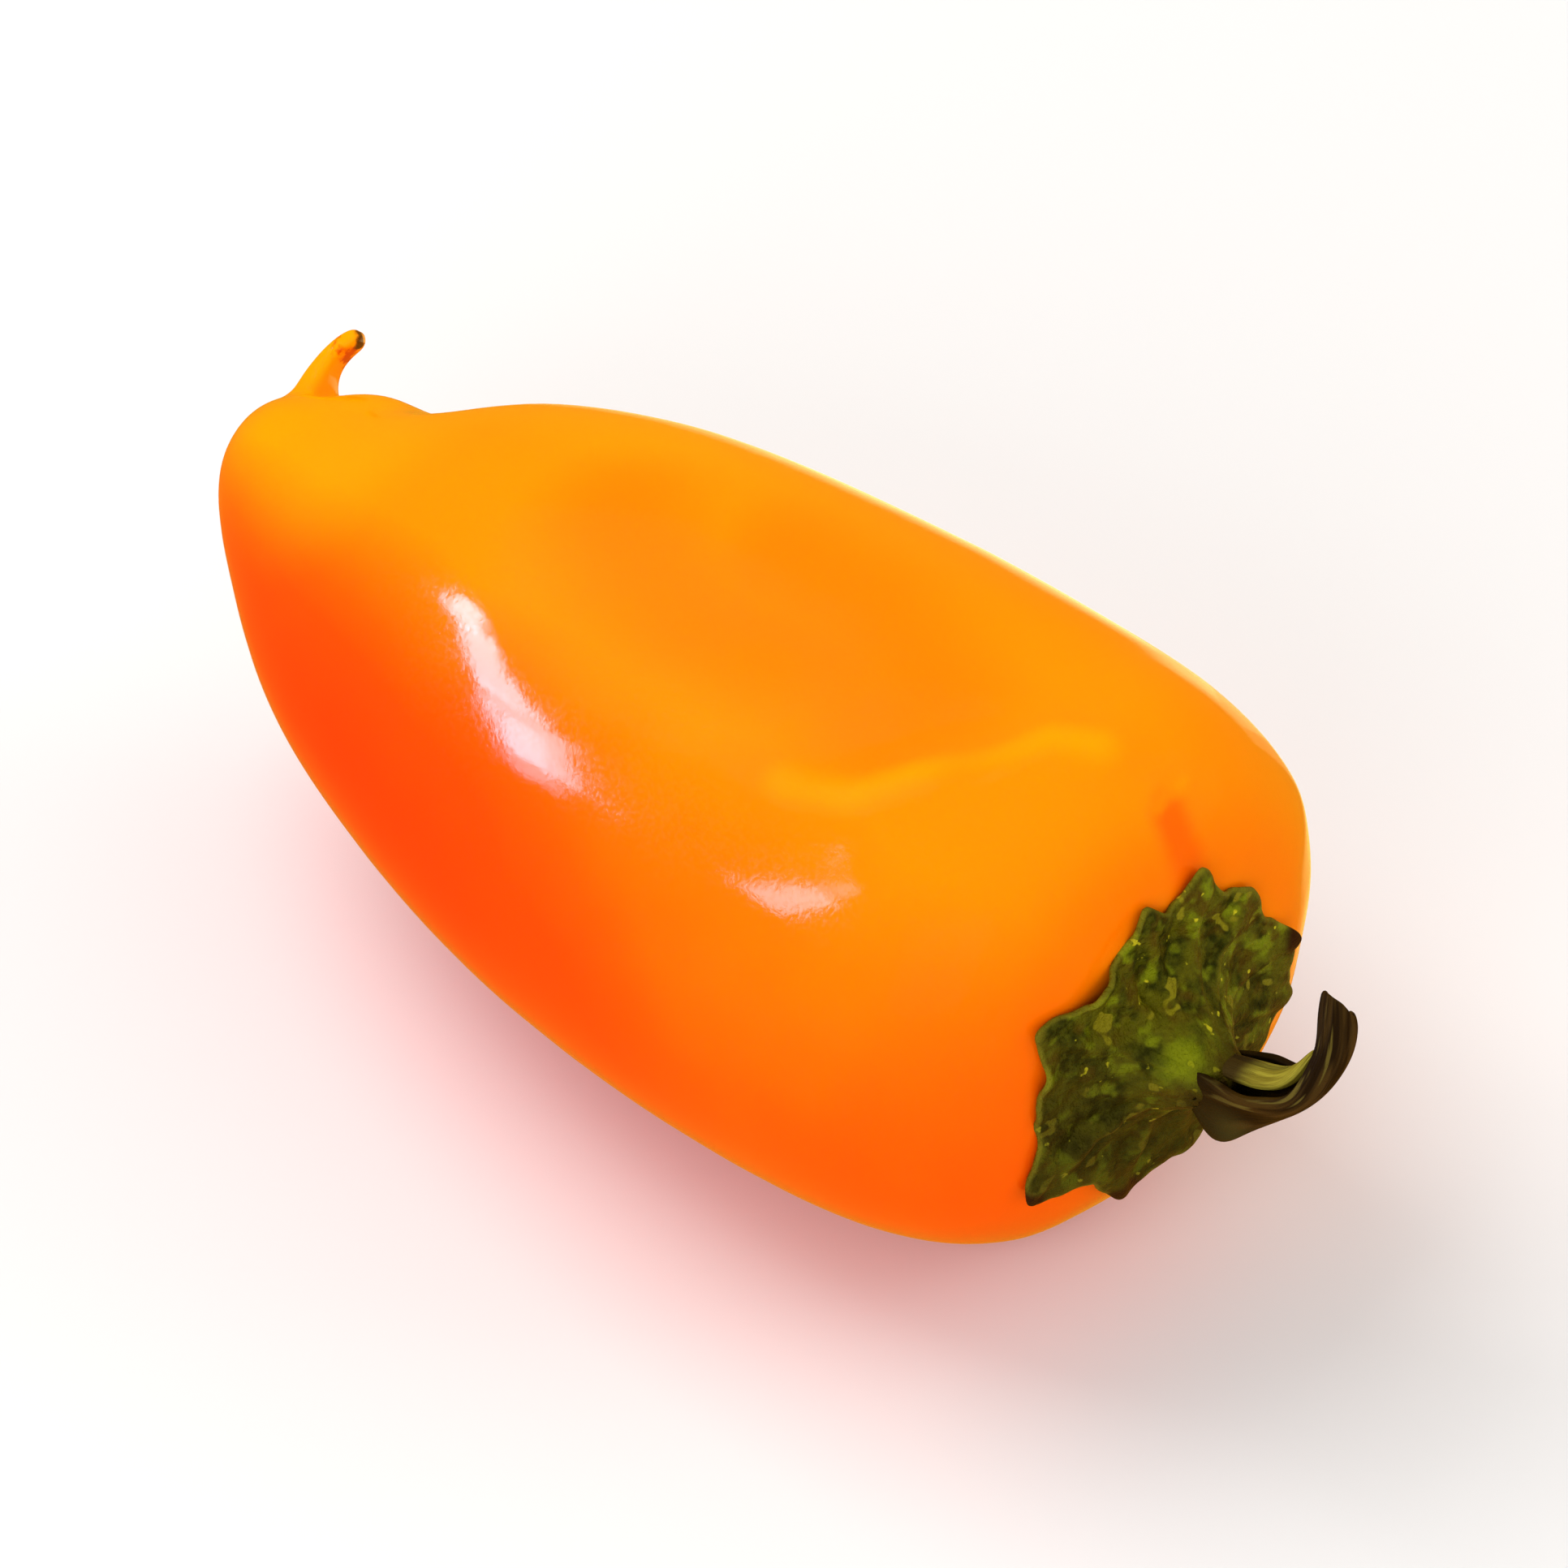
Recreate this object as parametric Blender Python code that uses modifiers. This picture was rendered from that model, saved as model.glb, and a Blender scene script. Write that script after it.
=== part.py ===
"""A mini sweet pepper, picked, lying on its side on a small flat spot.

Three pieces: the fruit with the little beak at its blossom end, the toothed green calyx on its
shoulders, and the torn, dried stem that hooks up out of the calyx. Lengths are in millimetres and
angles in degrees until the points are handed to Blender, which works in metres.

The fruit lies along X with the stem end at +X. The origin is on the flat spot that it rests on.
An angle round the fruit is measured from +Y towards +Z, so 90 is on top and 180 at the side of -Y.
"""

import math

import bmesh
import bpy
import numpy as np
from mathutils import Vector
from mathutils.bvhtree import BVHTree

MM = 0.001

# The fruit, from the stem end to the blossom end. The lean tips a ring's upper side, at LEAN_ANGLE,
# towards the stem end, as a share of the distance from the middle line.
AXIS_HEIGHT = 21.1
LEAN_ANGLE = 37
STATIONS = (
    # x, y, height above the axis, radius, lean
    (31.4, -0.3, 1.2, 3.0, 0.05),
    (32.3, -0.3, 1.2, 6.2, 0.05),
    (33.0, -0.3, 1.2, 9.6, 0.05),
    (32.5, -0.2, 1.1, 12.9, 0.05),
    (30.9, 0.0, 0.9, 16.1, 0.05),
    (28.0, 0.1, 0.6, 18.8, 0.05),
    (24.0, 0.2, 0.3, 20.4, 0.04),
    (18.5, 0.0, 0.0, 21.3, 0.02),
    (11.5, -0.4, -0.3, 21.5, 0.0),
    (4.0, -0.7, -0.5, 21.4, 0.0),
    (-3.5, -1.0, -0.7, 20.9, 0.0),
    (-11.0, -1.1, -0.8, 20.1, 0.0),
    (-18.0, -1.1, -0.8, 18.8, 0.0),
    (-24.5, -1.2, -0.9, 16.9, 0.0),
    (-30.0, -1.5, -1.1, 14.8, 0.0),
    (-35.0, -1.9, -1.4, 12.1, 0.0),
    (-39.3, -1.7, -1.3, 9.6, 0.0),
    (-42.8, -1.1, -0.8, 7.7, 0.0),
    (-45.6, -0.7, -0.6, 6.1, 0.0),
    (-47.8, -0.4, -0.3, 4.3, 0.0),
    (-49.3, -0.2, -0.2, 2.1, 0.0),
)
END_STATIONS = 3
RING_SIDES = 24

# Presses into the skin: marks of (x, angle), how deep, and how far round the marks it fades out.
PRESSES = (
    # the hollow, and the fold that stands along its lower edge
    (((1, 98), (8, 96), (15, 87), (20, 76)), 2.4, 12.0),
    (((10, 122), (16, 114), (20, 103), (24, 91), (27, 84)), -0.7, 6.5),
    # the crease over the shoulder to the calyx, and the shoulder beyond it
    (((27, 92), (31, 92)), 0.9, 4.5),
    (((26, 62),), -0.7, 9.0),
    # the furrow on the far side
    (((27, 330), (19, 330), (11, 330)), 1.3, 10.0),
    # the notch beside the beak
    (((-37, 37),), 1.0, 6.5),
)

# The beak: where it stands on the skin, how wide its root is, and its line away from the middle.
BEAK_ANGLE = 42
BEAK_ROOT_X = -46.2
BEAK_ROOT_OUT = 4.4
BEAK_ROOT_RADIUS = 2.3
BEAK = (
    # x, distance from the axis, radius
    (-46.7, 5.4, 2.0),
    (-46.9, 6.8, 1.6),
    (-46.5, 8.2, 1.35),
    (-45.6, 9.4, 1.0),
)

# The calyx: its middle, how far it is dropped onto the fruit, its scalloped edge, its teeth and the
# boss that the stem breaks out of.
CALYX_Y = -0.8
CALYX_HEIGHT = 1.3
CALYX_GAP = 0.35
CALYX_DROP = 60
CALYX_EDGE = 10.2
TEETH = (
    # angle, reach from the middle, half width of the root
    (10, 11.8, 16),
    (40, 11.8, 18),
    (70, 13.2, 19),
    (95, 12.3, 11),
    (145, 13.0, 26),
    (185, 11.2, 18),
    (220, 13.8, 22),
    (255, 13.2, 19),
    (290, 11.9, 17),
    (325, 11.2, 17),
)
TOOTH_SHARPNESS = 1.35
CALYX_SPOKES = 72
CALYX_RINGS = 8
RIM_THICKNESS = 0.9
CALYX_THICKNESS = 1.5
THICK_BY = 0.25
BOSS_HEIGHT = 4.6
BOSS_REACH = 8.5
BOSS_TOP_X = 37.3
RIB_HEIGHT = 0.45

# The stem: a hooked strip of bark that turns hollow on its inner side and twists as it rises. Its
# outer side hangs down in a torn keel near the root.
STEM_ANGLE = 60
STEM_Y = -0.8
STEM_HEIGHT = 1.3
SECTION_POINTS = 20
STEM = (
    # x, distance from the stem's root line, half the width, how hollow, keel, twist
    (37.6, 0.3, 2.4, 0.0, 0.2, 5),
    (38.8, 0.6, 2.3, 0.2, 0.8, 12),
    (40.2, 1.0, 2.2, 0.5, 1.6, 20),
    (41.6, 1.3, 2.1, 0.9, 1.3, 28),
    (43.2, 1.8, 2.0, 1.0, 0.9, 30),
    (44.8, 2.8, 1.9, 1.0, 0.45, 25),
    (45.7, 4.6, 1.75, 1.0, 0.15, 12),
    (45.8, 6.4, 1.65, 1.0, 0.0, 0),
    (45.4, 7.8, 1.3, 0.8, 0.0, -5),
    (44.7, 9.0, 0.5, 0.5, 0.0, -10),
)
BARK_THICKNESS = 0.62
HOLLOW_DEPTH = 0.35


def clear_scene():
    for thing in list(bpy.data.objects):
        bpy.data.objects.remove(thing)


def make_material(name, colour, roughness):
    material = bpy.data.materials.new(name)
    material.use_nodes = True
    shader = material.node_tree.nodes["Principled BSDF"]
    shader.inputs["Base Color"].default_value = (*colour, 1.0)
    shader.inputs["Roughness"].default_value = roughness
    shader.inputs["Metallic"].default_value = 0.0
    return material


def add_piece(name, shape, material, collection):
    """An object made of a bmesh in millimetres, which is freed."""
    bmesh.ops.scale(shape, vec=(MM, MM, MM), verts=shape.verts)
    mesh = bpy.data.meshes.new(name)
    shape.to_mesh(mesh)
    shape.free()
    mesh.materials.append(material)
    mesh.shade_smooth()
    piece = bpy.data.objects.new(name, mesh)
    collection.objects.link(piece)
    return piece


def smoothed(shape, levels):
    """The bmesh after Subdivision Surface. The given one is freed."""
    mesh = bpy.data.meshes.new("cage")
    shape.to_mesh(mesh)
    shape.free()
    cage = bpy.data.objects.new("cage", mesh)
    bpy.context.scene.collection.objects.link(cage)
    smooth = cage.modifiers.new("smooth", "SUBSURF")
    smooth.levels = levels
    smooth.render_levels = levels
    result = bmesh.new()
    result.from_object(cage, bpy.context.evaluated_depsgraph_get())
    bpy.data.objects.remove(cage)
    return result


def parts_of(made, kind):
    return [part for part in made if isinstance(part, kind)]


def outward(angle):
    turn = math.radians(angle)
    return Vector((0.0, math.cos(turn), math.sin(turn)))


def on_skin(x, angle):
    """A point at x on the fruit's side, before it is pressed."""
    rows = sorted(STATIONS)[END_STATIONS:-END_STATIONS]
    columns = np.array(rows).T
    y, height, radius = (float(np.interp(x, columns[0], column)) for column in columns[1:4])
    return Vector((x, y, height + AXIS_HEIGHT)) + outward(angle) * radius


def next_ring(shape, edges):
    """Extrudes a ring of edges and gives the new ring's points and edges."""
    made = bmesh.ops.extrude_edge_only(shape, edges=edges)["geom"]
    ring = parts_of(made, bmesh.types.BMVert)
    around = [edge for edge in parts_of(made, bmesh.types.BMEdge) if set(edge.verts) <= set(ring)]
    return ring, around


def loft_fruit():
    """A ring of points at each station, skinned in turn, and closed at both ends."""
    shape = bmesh.new()
    ring = bmesh.ops.create_circle(shape, segments=RING_SIDES, radius=1.0)["verts"]
    for vert in ring:
        vert.co = Vector((0.0, vert.co.x, vert.co.y))
    edges = list(shape.edges)
    middle = Vector()
    for number, (x, y, height, radius, lean) in enumerate(STATIONS):
        if number:
            ring, edges = next_ring(shape, edges)
        old_middle = middle
        middle = Vector((x, y, height + AXIS_HEIGHT))
        for vert in ring:
            spoke = vert.co - old_middle
            spoke.x = 0.0
            spoke.length = radius
            spoke.x = lean * spoke.dot(outward(LEAN_ANGLE))
            vert.co = middle + spoke
    bmesh.ops.holes_fill(shape, edges=[edge for edge in shape.edges if edge.is_boundary])
    bmesh.ops.recalc_face_normals(shape, faces=shape.faces)
    return shape


def press(shape, marks, depth, reach):
    """Presses the skin in at the marks, fading to nothing at reach. A negative depth lifts it."""
    picked = []
    push = Vector()
    for x, angle in marks:
        mark = on_skin(x, angle)
        picked.append(min(shape.verts, key=lambda vert: (vert.co - mark).length).co.copy())
        push -= outward(angle)
    push.length = abs(depth)
    if depth < 0:
        push.negate()
    for vert in shape.verts:
        apart = min((vert.co - point).length for point in picked)
        near = max(0.0, 1 - apart / reach)
        vert.co += push * near * near * (3 - 2 * near)


def grow_beak(shape):
    """Draws the faces at the beak's root out along its line."""
    axis_point = Vector((0, 0, AXIS_HEIGHT))
    out = outward(BEAK_ANGLE)
    root = Vector((BEAK_ROOT_X, 0, 0)) + axis_point + out * BEAK_ROOT_OUT
    faces = [
        face for face in shape.faces
        if (face.calc_center_median() - root).length < BEAK_ROOT_RADIUS
    ]
    before = root - out
    for x, distance, radius in BEAK:
        made = bmesh.ops.extrude_face_region(shape, geom=faces)["geom"]
        bmesh.ops.delete(shape, geom=faces, context="FACES")
        faces = parts_of(made, bmesh.types.BMFace)
        verts = parts_of(made, bmesh.types.BMVert)
        centre = sum((vert.co for vert in verts), Vector()) / len(verts)
        target = Vector((x, 0, 0)) + axis_point + out * distance
        along = (target - before).normalized()
        spokes = [vert.co - centre for vert in verts]
        spokes = [spoke - along * spoke.dot(along) for spoke in spokes]
        widest = max(spoke.length for spoke in spokes)
        for vert, spoke in zip(verts, spokes):
            vert.co = target + spoke * (radius / widest)
        before = target


def cut_flat(shape):
    """Cuts the underside off at z = 0 and closes it with one flat face."""
    bmesh.ops.bisect_plane(
        shape,
        geom=[*shape.verts, *shape.edges, *shape.faces],
        plane_co=(0, 0, 0),
        plane_no=(0, 0, -1),
        clear_outer=True,
    )
    bmesh.ops.holes_fill(shape, edges=[edge for edge in shape.edges if edge.is_boundary])
    bmesh.ops.recalc_face_normals(shape, faces=shape.faces)


def make_fruit(collection):
    shape = loft_fruit()
    grow_beak(shape)
    shape = smoothed(shape, 1)
    for marks, depth, reach in PRESSES:
        press(shape, marks, depth, reach)
    cut_flat(shape)
    skin = BVHTree.FromBMesh(shape)
    add_piece("fruit", shape, make_material("fruit_skin", (0.95, 0.27, 0.01), 0.18), collection)
    return skin


def tooth_share(angle):
    """How much of a tooth stands at this angle, from 0 beside it to 1 at its tip, and its reach."""
    best = (0.0, CALYX_EDGE)
    for middle, reach, half in TEETH:
        apart = abs((angle - middle + 180) % 360 - 180)
        share = max(0.0, 1 - apart / half) ** TOOTH_SHARPNESS
        best = max(best, (share, reach))
    return best


def calyx_disc():
    """A flat toothed disc of rings, and each point's share of the way out and its tooth's share."""
    shape = bmesh.new()
    ring = bmesh.ops.create_circle(shape, segments=CALYX_SPOKES, radius=1.0)["verts"]
    turns = [math.degrees(math.atan2(vert.co.y, vert.co.x)) for vert in ring]
    edges = list(shape.edges)
    places = []
    for number in range(CALYX_RINGS):
        if number:
            ring, edges = next_ring(shape, edges)
            turns = [math.degrees(math.atan2(vert.co.z, vert.co.y)) for vert in ring]
        out = 1 - number / CALYX_RINGS
        for vert, turn in zip(ring, turns):
            tooth, reach = tooth_share(turn)
            rim = CALYX_EDGE + (reach - CALYX_EDGE) * tooth * out ** 2
            vert.co = outward(turn) * rim * out
            places.append((out, tooth))
    bmesh.ops.contextual_create(shape, geom=edges)
    bmesh.ops.translate(shape, vec=(0, CALYX_Y, CALYX_HEIGHT + AXIS_HEIGHT), verts=shape.verts)
    return shape, places


def calyx_rise(vert, out, tooth):
    """How thick the calyx is at a point of its underside."""
    thicker = min(1.0, (1 - out) / THICK_BY)
    thickness = RIM_THICKNESS + (CALYX_THICKNESS - RIM_THICKNESS) * thicker
    rib = RIB_HEIGHT * tooth * math.sin(math.pi * out)
    away = math.hypot(vert.co.y - CALYX_Y, vert.co.z - CALYX_HEIGHT - AXIS_HEIGHT)
    near = max(0.0, 1 - away / BOSS_REACH)
    boss = BOSS_HEIGHT * near * near * (3 - 2 * near)
    return min(thickness + rib + boss, BOSS_TOP_X - vert.co.x)


def make_calyx(skin, collection):
    """The disc is laid on the fruit's end, thickened, and raised to a flat-topped boss in the middle."""
    shape, places = calyx_disc()
    for vert in shape.verts:
        hit = skin.ray_cast(vert.co + Vector((CALYX_DROP, 0, 0)), Vector((-1, 0, 0)))[0]
        vert.co.x = hit.x + CALYX_GAP
    rises = [calyx_rise(vert, *place) for vert, place in zip(shape.verts, places)]
    made = bmesh.ops.extrude_face_region(shape, geom=shape.faces[:], use_keep_orig=True)["geom"]
    for vert, rise in zip(parts_of(made, bmesh.types.BMVert), rises):
        vert.co.x += rise
    bmesh.ops.recalc_face_normals(shape, faces=shape.faces)
    add_piece("calyx", shape, make_material("calyx_skin", (0.07, 0.12, 0.01), 0.5), collection)


def section_point(turn, half, hollow, keel, twist):
    """A point of the stem's section: across it, and towards its inner side."""
    across = half * math.cos(turn)
    out = -math.sin(turn)
    if out > 0:
        depth = -half * (BARK_THICKNESS * out + keel * out ** 3)
    else:
        depth = -half * out * (BARK_THICKNESS * (1 - hollow) - HOLLOW_DEPTH * hollow)
    cos, sin = math.cos(math.radians(twist)), math.sin(math.radians(twist))
    return across * cos + depth * sin, depth * cos - across * sin


def loft_stem():
    """A section at each row of the stem, square to its line, skinned in turn and closed at the ends."""
    up = outward(STEM_ANGLE)
    across = Vector((1, 0, 0)).cross(up)
    root = Vector((0, STEM_Y, STEM_HEIGHT + AXIS_HEIGHT))
    points = [root + Vector((x, 0, 0)) + up * distance for x, distance, *section in STEM]
    shape = bmesh.new()
    ring = bmesh.ops.create_circle(shape, segments=SECTION_POINTS, radius=1.0)["verts"]
    edges = list(shape.edges)
    for number, (x, distance, *section) in enumerate(STEM):
        along = Vector((1, 0, 0))
        if number:
            ring, edges = next_ring(shape, edges)
            ahead = points[min(number + 1, len(points) - 1)]
            along = (ahead - points[number - 1]).normalized()
        inner = across.cross(along)
        for step, vert in enumerate(ring):
            side, depth = section_point(2 * math.pi * step / SECTION_POINTS, *section)
            vert.co = points[number] + across * side + inner * depth
    bmesh.ops.holes_fill(shape, edges=[edge for edge in shape.edges if edge.is_boundary])
    bmesh.ops.recalc_face_normals(shape, faces=shape.faces)
    return shape


def make_stem(collection):
    bark = make_material("stem_bark", (0.03, 0.02, 0.005), 0.6)
    add_piece("stem", loft_stem(), bark, collection)


clear_scene()
pepper = bpy.data.collections.new("mini_sweet_pepper")
bpy.context.scene.collection.children.link(pepper)
fruit_skin = make_fruit(pepper)
make_calyx(fruit_skin, pepper)
make_stem(pepper)
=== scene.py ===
"""The looks of a mini sweet pepper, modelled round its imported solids.

The waxy orange fruit with the little beak at its tip, the leathery green calyx on its shoulders and the
torn, dried stem are each modelled afresh where their solid lies, and given a finish. Lengths are in
millimetres and angles in degrees until they are handed to Blender, which works in metres. The fruit lies
along X with its stem end at +X. An angle round it is measured from +Y towards +Z, so 90 is on top.
"""

import math
import random

import bmesh
import bpy
from mathutils import Matrix, Vector
from mathutils.kdtree import KDTree


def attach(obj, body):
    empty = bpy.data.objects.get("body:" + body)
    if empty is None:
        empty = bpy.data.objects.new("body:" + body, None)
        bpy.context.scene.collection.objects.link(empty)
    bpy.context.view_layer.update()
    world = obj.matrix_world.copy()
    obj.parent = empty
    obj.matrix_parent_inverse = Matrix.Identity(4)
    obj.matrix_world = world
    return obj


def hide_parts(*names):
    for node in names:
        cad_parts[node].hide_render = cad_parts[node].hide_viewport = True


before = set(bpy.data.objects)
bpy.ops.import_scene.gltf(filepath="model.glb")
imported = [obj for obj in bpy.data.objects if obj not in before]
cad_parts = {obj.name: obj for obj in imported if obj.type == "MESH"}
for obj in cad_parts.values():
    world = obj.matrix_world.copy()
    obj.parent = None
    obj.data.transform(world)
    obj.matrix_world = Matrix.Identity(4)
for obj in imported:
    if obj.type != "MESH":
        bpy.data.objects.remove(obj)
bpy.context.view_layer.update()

MM = 0.001

# The fruit, from the stem end to the blossom end. The lean tips a ring's upper side, at LEAN_ANGLE,
# towards the stem end.
AXIS_HEIGHT = 21.1
LEAN_ANGLE = 37
STATIONS = (
    # x, y, height above the axis, radius, lean
    (31.4, -0.3, 1.2, 3.0, 3),
    (32.3, -0.3, 1.2, 6.2, 3),
    (33.0, -0.3, 1.2, 9.6, 3),
    (32.5, -0.2, 1.1, 12.9, 3),
    (30.9, 0.0, 0.9, 16.1, 3),
    (28.0, 0.1, 0.6, 18.8, 3),
    (24.0, 0.2, 0.3, 20.4, 2),
    (18.5, 0.0, 0.0, 21.3, 1),
    (11.5, -0.4, -0.3, 21.5, 0),
    (4.0, -0.7, -0.5, 21.4, 0),
    (-3.5, -1.0, -0.7, 20.9, 0),
    (-11.0, -1.1, -0.8, 20.1, 0),
    (-18.0, -1.1, -0.8, 18.8, 0),
    (-24.5, -1.2, -0.9, 16.9, 0),
    (-30.0, -1.5, -1.1, 14.8, 0),
    (-35.0, -1.9, -1.4, 12.1, 0),
    (-39.3, -1.7, -1.3, 9.6, 0),
    (-42.8, -1.1, -0.8, 7.7, 0),
    (-45.6, -0.7, -0.6, 6.1, 0),
    (-47.8, -0.4, -0.3, 4.3, 0),
    (-49.3, -0.2, -0.2, 2.1, 0),
)
RING_SIDES = 24
SHOULDER_TOP = 33.0

# Presses into the skin: a line of marks (x, angle), how deep, and how far from it the press fades out.
# A negative depth lifts the skin.
CREST = ((11, 124), (15.6, 120.6), (18.0, 112), (19.4, 104), (21.4, 98), (22.9, 90.5), (25.5, 86))
CREASE = ((30.2, 83), (29.9, 78), (29.6, 73))
HOLLOW = ((-13, 94), (-8, 100), (-3, 104), (3, 102), (9, 99), (13, 106), (14, 95), (5, 87), (-2, 86))
PRESSES = (
    # the broad hollow, the steep wall below the crest of the fold, and the crest
    (((-7, 106), (0, 103), (7, 101), (13, 97), (17, 88)), 1.6, 11.0),
    (((11.5, 116.5), (14.8, 113), (16.6, 104), (18.4, 95)), 0.9, 5.0),
    (CREST[:2], -0.2, 5.0),
    (CREST[1:3], -0.35, 4.4),
    (CREST[2:], -0.7, 3.8),
    # the crease over the shoulder, the dent between it and the calyx, and the shoulder beyond
    (CREASE, -0.35, 1.8),
    (((31.0, 84.5), (32.4, 86)), -0.25, 1.6),
    (((30.6, 76), (32, 72), (32.6, 66)), 0.9, 3.4),
    (((26, 62),), -0.7, 9.0),
    # the shoulder on the far side of the calyx
    (((31, -8), (31, 6)), 1.0, 6.5),
    # and the shoulder below it
    (((31, 262), (31, 282)), 0.8, 6.5),
    # the furrow on the far side
    (((27, 330), (19, 330), (11, 330)), 1.3, 10.0),
    # the low stretch behind the beak, the bump between them, and the bulge before the beak
    (((-35.4, 48),), 1.0, 6.5),
    (((-41.3, 56),), -0.45, 4.0),
    (((-45.8, 107),), -0.6, 4.5),
    # two pimples below the hollow
    (((1.4, 147),), -0.05, 1.4),
    (((10.0, 146),), -0.04, 1.3),
    # the notch where the beak meets the bump
    (((-44.8, 54),), 1.2, 2.0),
)
WAVE_SIZE = 9.0
WAVE_HEIGHT = 0.11

# Where light and shade are painted on the skin: painted light along the crest, the crease and the top of the
# tip, and painted shade in the hollow and on the shoulder. Each has a name, the line of marks (x, angle), and
# how far from it the change fades out.
SKIN_LIGHT_AND_SHADE_MARKS = (
    ("crest", CREST, 2.4),
    ("crease", CREASE, 0.9),
    ("hollow", HOLLOW, 9.0),
    ("shoulder_shade", ((30.9, 80), (31.9, 79), (32.9, 76)), 2.5),
    # painted light on the top of the tip
    ("lit_tip", ((-45, 80), (-37, 95)), 12.0),
)
# Painted shade on the skin round the calyx: how far from the calyx's middle its line lies, and how far from
# that line it fades out.
SHADE_BY_CALYX_DISTANCE = 12.5
SHADE_BY_CALYX_REACH = 6.5

# The beak: where it stands on the skin, how wide its root is, and its line away from the middle.
BEAK_ANGLE = 42
BEAK_ROOT_X = -46.2
BEAK_ROOT_OUT = 4.4
BEAK_ROOT_RADIUS = 2.3
BEAK = (
    # x, distance from the axis, radius, turn towards the stem end
    (-46.9, 5.0, 2.05, 15),
    (-47.1, 6.2, 1.55, 18),
    (-47.0, 7.4, 1.35, 20),
    (-46.6, 8.5, 1.35, 18),
    (-46.0, 9.4, 1.15, 8),
)
# Its dried tip and its scar: x, distance from the axis, and how far they reach.
BEAK_SPOTS = (
    ("beak_tip", -45.6, 9.3, 1.9),
    ("beak_scar", -46.6, 7.9, 2.2),
)

# The calyx: its middle, drawn clear of the fruit, its edge, its teeth and the boss that the stem
# breaks out of.
CALYX_MIDDLE = (45.0, -0.8, 22.4)
CALYX_EDGE = 10.5
CALYX_SPOKES = 120
CALYX_RINGS = 12
TEETH = (
    # angle, reach from the middle, half width of the root, how far the tip curls up, how dry it is
    (6, 12.4, 18, 0.8, 1.0),
    (45, 11.5, 20, 0.3, 0.1),
    (71, 12.9, 14, 0.3, 0.1),
    (95, 12.4, 9, 0.2, 0.0),
    (120, 9.6, 20, 0.0, 0.0),
    (147, 12.7, 14, 0.3, 0.2),
    (218, 13.7, 22, 0.6, 1.0),
    (260, 13.6, 24, 0.6, 1.2),
    (287, 13.2, 24, 0.2, 0.2),
    (312, 13.0, 24, 0.2, 0.2),
    (342, 12.7, 24, 0.3, 0.4),
)
TOOTH_TIP_REACH = 1.8
# The small rags of its edge. The angle of each is off by up to RAG_SHIFT.
RAGS = 40
RAG_SEED = 8
RAG_SHIFT = 3
RAG_LENGTH = 0.14
RAG_REACH = 0.9
RAG_CIRCLE = 11.5
DRY_REACH = 2.2
CALYX_GAP = 0.12
CALYX_THICKNESS = 0.45
BOSS_HEIGHT = 5.0
BOSS_REACH = 8.5
COLLAR_HEIGHT = 3.3
COLLAR_REACH = 5.0
RIB_HEIGHT = 0.7
RIB_REACH = 1.3
RIB_DISTANCES = (3.5, 4.5, 5.5, 6.5, 7.5, 8.5, 9.5)
RIB_END = 1.5
# Its crinkles. They keep clear of a middle with CRINKLE_MIDDLE of the area of their circle.
CRINKLES = 150
CRINKLE_SEED = 5
CRINKLE_CIRCLE = 11.5
CRINKLE_MIDDLE = 0.06
CRINKLE_HEIGHT = 0.6
CRINKLE_LIFTS = (-0.8, 1)
CRINKLE_REACHES = (1.0, 2.2)
# Two patterns that roughen it: kind, size, height.
CALYX_RIPPLES = (("VORONOI", 1.7, 0.45), ("CLOUDS", 1.0, 0.25))
BRIGHT_PATCH_PLACE = (37.1, -2.3, 24.0)
BRIGHT_PATCH_REACH = 3.4
BY_STEM_PLACE = (38.8, -0.5, 21.2)
BY_STEM_REACH = 4.6

# The stem: a gutter of bark that hooks over and twists, open on its inner side, with a torn keel below
# its root, and the pale pith that lies in the gutter.
STEM_ANGLE = 60
STEM_ROOT = (0.0, -0.8, 22.4)
BARK_SIDES = 24
BARK_FLATNESS = 0.66
BARK_OPENING = 0.3
BARK_THICKNESS = 0.5
BARK = (
    # x, distance from the stem's root line, half the width, twist
    (34.8, -0.1, 1.5, 0),
    (36.6, 0.2, 1.9, 5),
    (38.4, 0.6, 2.2, 12),
    (40.2, 1.0, 2.2, 20),
    (41.6, 1.3, 2.1, 28),
    (43.2, 1.8, 2.0, 30),
    (44.4, 2.5, 1.9, 27),
    (45.2, 3.6, 1.8, 20),
    (45.6, 5.0, 1.7, 10),
    (45.7, 6.4, 1.6, 2),
    (45.4, 7.8, 1.35, -5),
    (45.0, 8.7, 1.0, -10),
)
# Rows of the bark, with how far the keel and the back rim are drawn out there. The keel's point is a row,
# a length and a reach.
BARK_KEEL = ((1, 0.8), (2, 2.6), (3, 2.3), (4, 1.3), (5, 0.6))
KEEL_REACH = 2.4
KEEL_POINT_DROP = 4.0
KEEL_POINT = (2, 2.0, 1.1)
BACK_RIM = ((2, 0.4), (3, 0.4), (4, 0.4), (5, 0.3))
BACK_RIM_REACH = 1.6
TEAR_SEED = 3
TORN_EDGE = 0.35
TORN_EDGE_REACH = 1.0
# The slanted tip: how far its high and its low corner are drawn, and how far each pull reaches.
TORN_TIP = ((1.2, 1.6), (-0.72, 1.2))
PITH_SIDES = 12
PITH_FLATNESS = 0.5
PITH = (
    # as for the bark
    (37.2, 0.8, 1.3, 8),
    (38.8, 1.1, 1.35, 14),
    (40.4, 1.5, 1.35, 22),
    (42.0, 1.9, 1.3, 28),
    (43.3, 2.5, 1.2, 28),
    (44.1, 3.5, 1.05, 22),
    (44.5, 4.6, 0.8, 14),
    (44.7, 5.4, 0.4, 10),
)
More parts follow.
